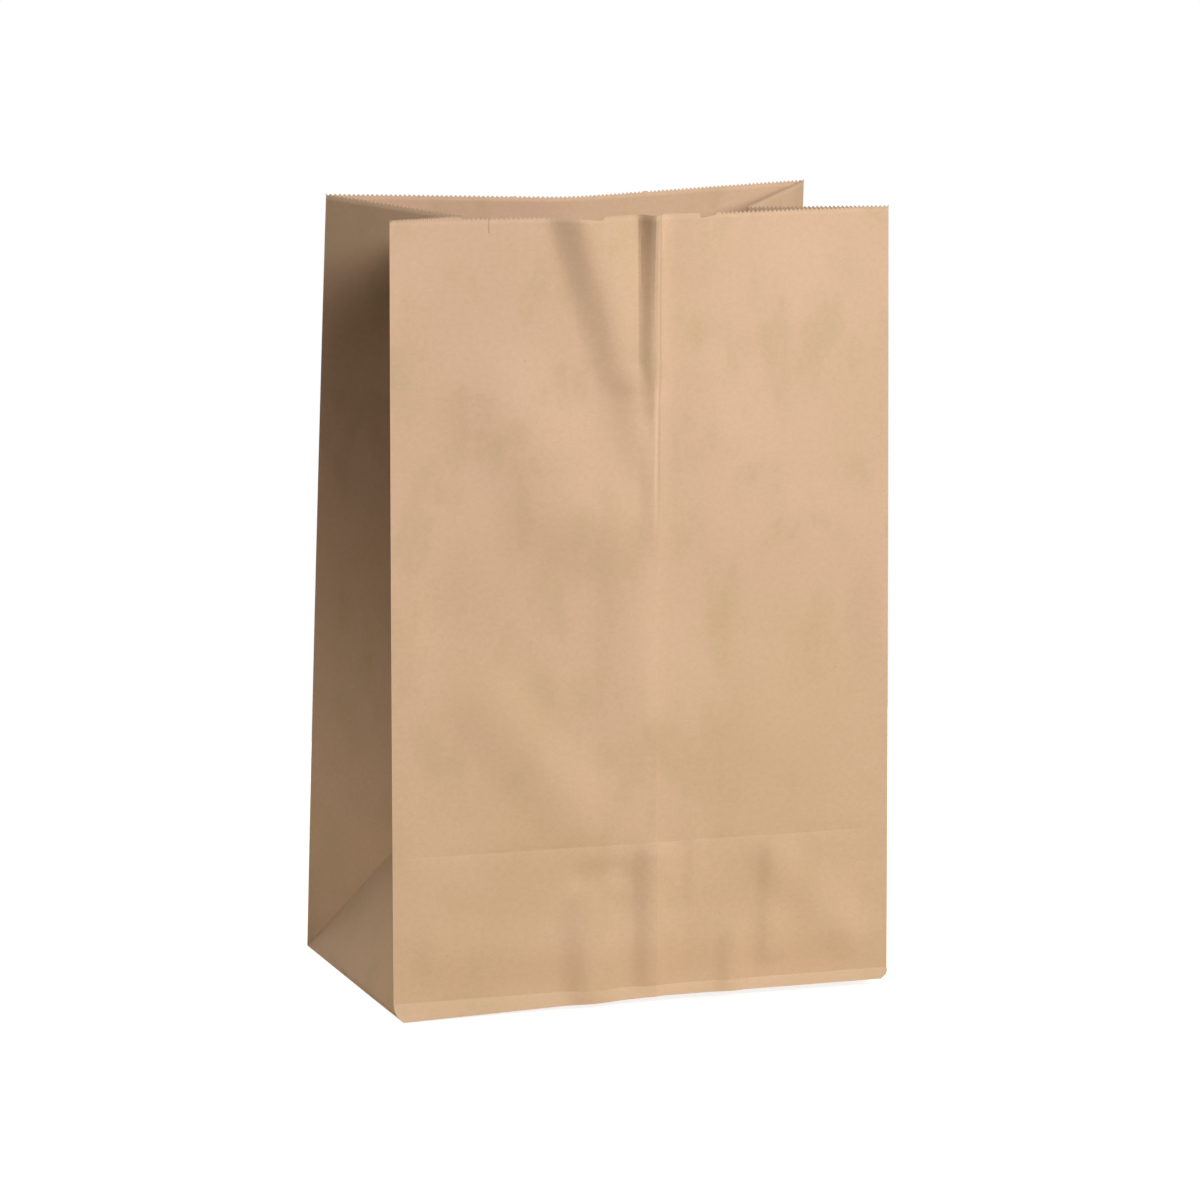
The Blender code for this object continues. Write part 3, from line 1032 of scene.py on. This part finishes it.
    def tone_and_painted_top_light(self, board: NodeBoard, place: Value, up: Value) -> Value:
        """Return the paper's colour, in rosy clouds and olive blotches, and painted light: straw below,
        lighter and rosier above.

        Args:
            board: the material's nodes.
            place: place on the sheet, in millimetres.
            up: place up the tube, in millimetres.

        Returns:
            The colour.
        """
        # the clouds are the paper's own tone; the height adds painted light, lighter and rosier above
        rosiness_and_top_light = self.rosy_clouds.of(self.clouds.over(board, place)) + self.painted_top_light.of(up)
        tone = board.mix(rosiness_and_top_light, self.straw, self.rosy)
        return board.mix(self.olive_blotches.of(self.blotches.over(board, place)), tone, self.olive)

    def wear_and_painted_light(self, across: Value, up: Value, grain: Value) -> Value:
        """Return where the paper is painted pale: rubbed along its crease, with painted highlight along
        its corner folds and painted light on the foot's strip.

        Args:
            across: place round the tube, in millimetres.
            up: place up the tube, in millimetres.
            grain: the paper's grain, which breaks the rubbing and painted light up.

        Returns:
            The share of rubbing and painted light, from 0 to 1.
        """
        width, strip = self.form.width * MM, self.form.foot_height * MM
        crease = up.near(self.form.crease_height * MM, self.crease_half_mm)
        ends = self.strip_ends_mm
        front = across.between(0.0, ends) * across.between(width, width - ends)
        below = up.between(strip + self.strip_top_mm, strip - self.strip_top_mm)
        # painted light on the foot's upturned strip
        strip_painted_light = front * below * up.between(-self.strip_foot_mm, self.strip_foot_mm)
        for middle, reach in self.strip_gaps_mm:
            strip_painted_light = strip_painted_light * (1.0 - across.near(middle, reach))
        worn_and_lit = crease * self.crease_wear.of(grain)
        worn_and_lit = worn_and_lit + strip_painted_light * (self.strip_least_light + self.strip_light_by_grain.of(grain))
        # painted highlight along each corner fold
        for fold in self.form.corners:
            worn_and_lit = worn_and_lit + across.near(fold * MM, self.fold_half_mm) * self.fold_highlight.of(grain)
        return worn_and_lit

    def specks(self, board: NodeBoard, place: Value) -> Value:
        """Return the few dark shives that kraft paper has.

        Args:
            board: the material's nodes.
            place: place on the sheet, in millimetres.

        Returns:
            The share of dark fibre, from 0 to 1.
        """
        settings = {"feature": "F1", "distance": "EUCLIDEAN"}
        inputs = {"Vector": place, "Scale": self.speck_waves}
        return self.dark_specks.of(board.add("ShaderNodeTexVoronoi", settings, inputs, "Distance"))


@dataclass(frozen=True)
class Lamp:
    """One soft square lamp."""

    name: str
    place: tuple[float, float, float]
    aim: tuple[float, float, float]
    size: float
    power: float


@dataclass
class Studio:
    """A plain pale floor, soft lamps and the camera."""

    camera_place: tuple[float, float, float] = (-0.964, -2.834, 0.790)
    camera_yaw: float = math.radians(18.81)
    camera_pitch: float = math.radians(11.0)
    camera_roll: float = math.radians(0.65)
    lens: float = 165.45
    sensor: float = 36.0
    sight: float = 100.0
    floor_size: float = 1.2
    floor_drop: float = 0.0002
    floor_colour: Colour = (0.80, 0.70, 0.60, 1.0)
    floor_glow: float = 0.85
    fill: float = 0.011
    fill_colour: Colour = (1.0, 0.72, 0.46, 1.0)
    lamps: tuple[Lamp, ...] = (
        Lamp("key", (1.148, -1.988, 1.421), (0.0, 0.0, 0.20), 0.8, 51.0),
        Lamp("front", (0.0, -1.065, 0.946), (0.0, 0.0, 0.20), 0.4, 5.5),
        Lamp("back", (-0.45, 2.10, 1.10), (0.0, 0.0, 0.20), 0.8, 30.0),
        Lamp("low_card", (-0.35, 0.0, 0.02), (-0.14, 0.0, 0.03), 0.15, 0.17),
    )

    def build(self) -> None:
        """Set the floor, light and camera around the sack."""
        self.set_floor()
        self.set_world()
        for lamp in self.lamps:
            self.hang(lamp)
        self.set_camera()
        bpy.context.scene.view_settings.view_transform = "Standard"

    def set_floor(self) -> None:
        """Lay the pale floor, which keeps the sack's shadow."""
        bpy.ops.object.select_all(action="DESELECT")
        bpy.ops.mesh.primitive_plane_add(size=self.floor_size, location=(0.0, 0.0, -self.floor_drop))
        floor = bpy.context.object
        floor.name = "floor"
        material = bpy.data.materials.new("floor_white")
        material.use_nodes = True
        board = NodeBoard(material.node_tree)
        strength = board.seen() * self.floor_glow
        glow = board.add("ShaderNodeEmission", {}, {"Color": WHITE, "Strength": strength})
        plain = board.add("ShaderNodeBsdfDiffuse", {}, {"Color": self.floor_colour})
        both = board.add("ShaderNodeAddShader", {}, {0: plain, 1: glow})
        board.feed(material.node_tree.nodes["Material Output"], "Surface", both)
        floor.data.materials.append(material)

    def set_world(self) -> None:
        """Light the sack from all round, with a white background."""
        world = bpy.data.worlds.new("studio")
        world.use_nodes = True
        board = NodeBoard(world.node_tree)
        back = world.node_tree.nodes["Background"]
        board.feed(back, "Color", board.mix(board.seen(), self.fill_colour, WHITE))
        board.feed(back, "Strength", self.fill + board.seen() * (1.0 - self.fill))
        bpy.context.scene.world = world

    def hang(self, lamp: Lamp) -> None:
        """Hang one lamp, turned to what it lights.

        Args:
            lamp: the lamp's place, aim, size and power.
        """
        light = bpy.data.lights.new(lamp.name, "AREA")
        light.size = lamp.size
        light.energy = lamp.power
        holder = bpy.data.objects.new(lamp.name, light)
        holder.location = lamp.place
        towards = Vector(lamp.aim) - Vector(lamp.place)
        holder.rotation_euler = towards.to_track_quat("-Z", "Y").to_euler()
        bpy.context.scene.collection.objects.link(holder)

    def set_camera(self) -> None:
        """Stand the camera where the photograph was taken from."""
        yaw, pitch, roll = self.camera_yaw, self.camera_pitch, self.camera_roll
        ahead = Vector((
            math.sin(yaw) * math.cos(pitch), math.cos(yaw) * math.cos(pitch), -math.sin(pitch)))
        level = ahead.cross(Vector((0.0, 0.0, 1.0))).normalized()
        above = level.cross(ahead)
        right = math.cos(roll) * level + math.sin(roll) * above
        top = math.cos(roll) * above - math.sin(roll) * level
        lens = bpy.data.cameras.new("camera")
        lens.lens = self.lens
        lens.sensor_width = self.sensor
        lens.clip_end = self.sight
        camera = bpy.data.objects.new("camera", lens)
        turn = Matrix((right, top, -ahead)).transposed().to_4x4()
        camera.matrix_world = Matrix.Translation(self.camera_place) @ turn
        bpy.context.scene.collection.objects.link(camera)
        bpy.context.scene.camera = camera


def main() -> None:
    """Build the sack, its paper and the studio, and report each piece."""
    logging.basicConfig(level=logging.INFO, format="%(name)s: %(message)s")
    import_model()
    sheet = SackSheet().build()
    sheet.data.materials.clear()
    sheet.data.materials.append(KraftFinish().build())
    LOG.info("%s: %d faces", sheet.name, len(sheet.data.polygons))
    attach(sheet, "root")
    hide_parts("paper_bag")
    Studio().build()
    LOG.info("studio is set")


if __name__ == "__main__":
    main()
